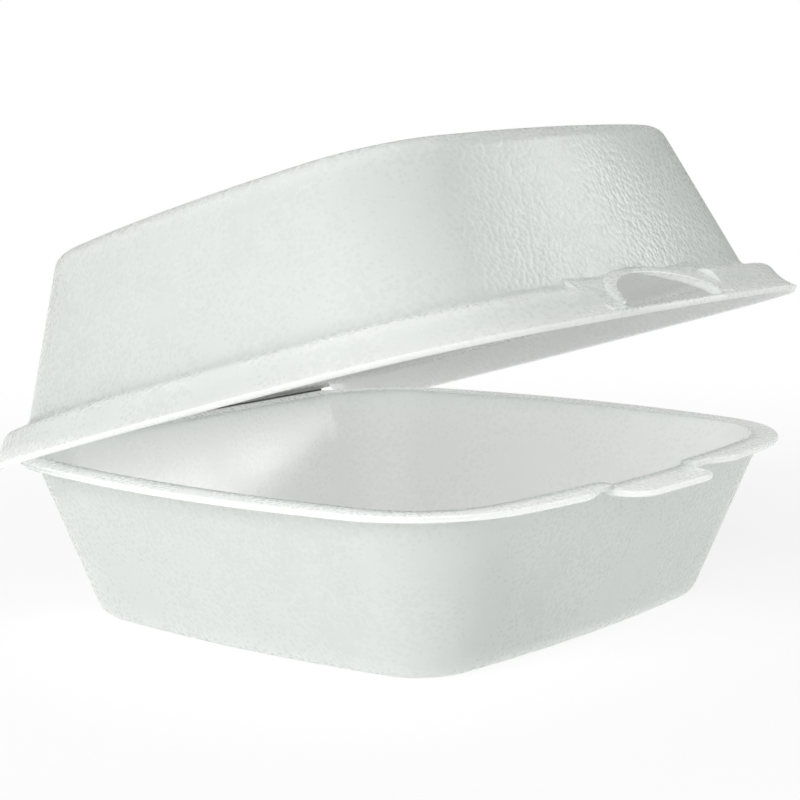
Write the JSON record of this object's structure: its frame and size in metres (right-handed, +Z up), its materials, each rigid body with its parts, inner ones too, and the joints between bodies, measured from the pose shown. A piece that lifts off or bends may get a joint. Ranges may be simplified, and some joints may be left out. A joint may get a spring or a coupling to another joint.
{
  "type": "hinged food container",
  "caption": "Hinged foam takeaway box: tapered tray, domed lid with a flared rim, living hinge at the back, and a tongue that meets a window at the front.",
  "frame": {"origin": "middle of the tray's flat underside", "axes": "+X along the hinge, +Y from the tongue at the front to the hinge at the back, +Z up"},
  "size_m": [0.152, 0.1334, 0.1006],
  "materials": {
    "foam": "soft matte foam sheet with a fine pressed skin"
  },
  "bodies": {
    "tray": {"base_tray": "foam"},
    "lid": {"lid": "foam"}
  },
  "joints": [
    {"name": "lid_hinge", "type": "hinge", "parent": "tray", "child": "lid", "pos_m": [0, 0.0635, 0.0349], "axis": [-1, 0, 0], "range_deg": [-15.8, 164.2]}
  ]
}
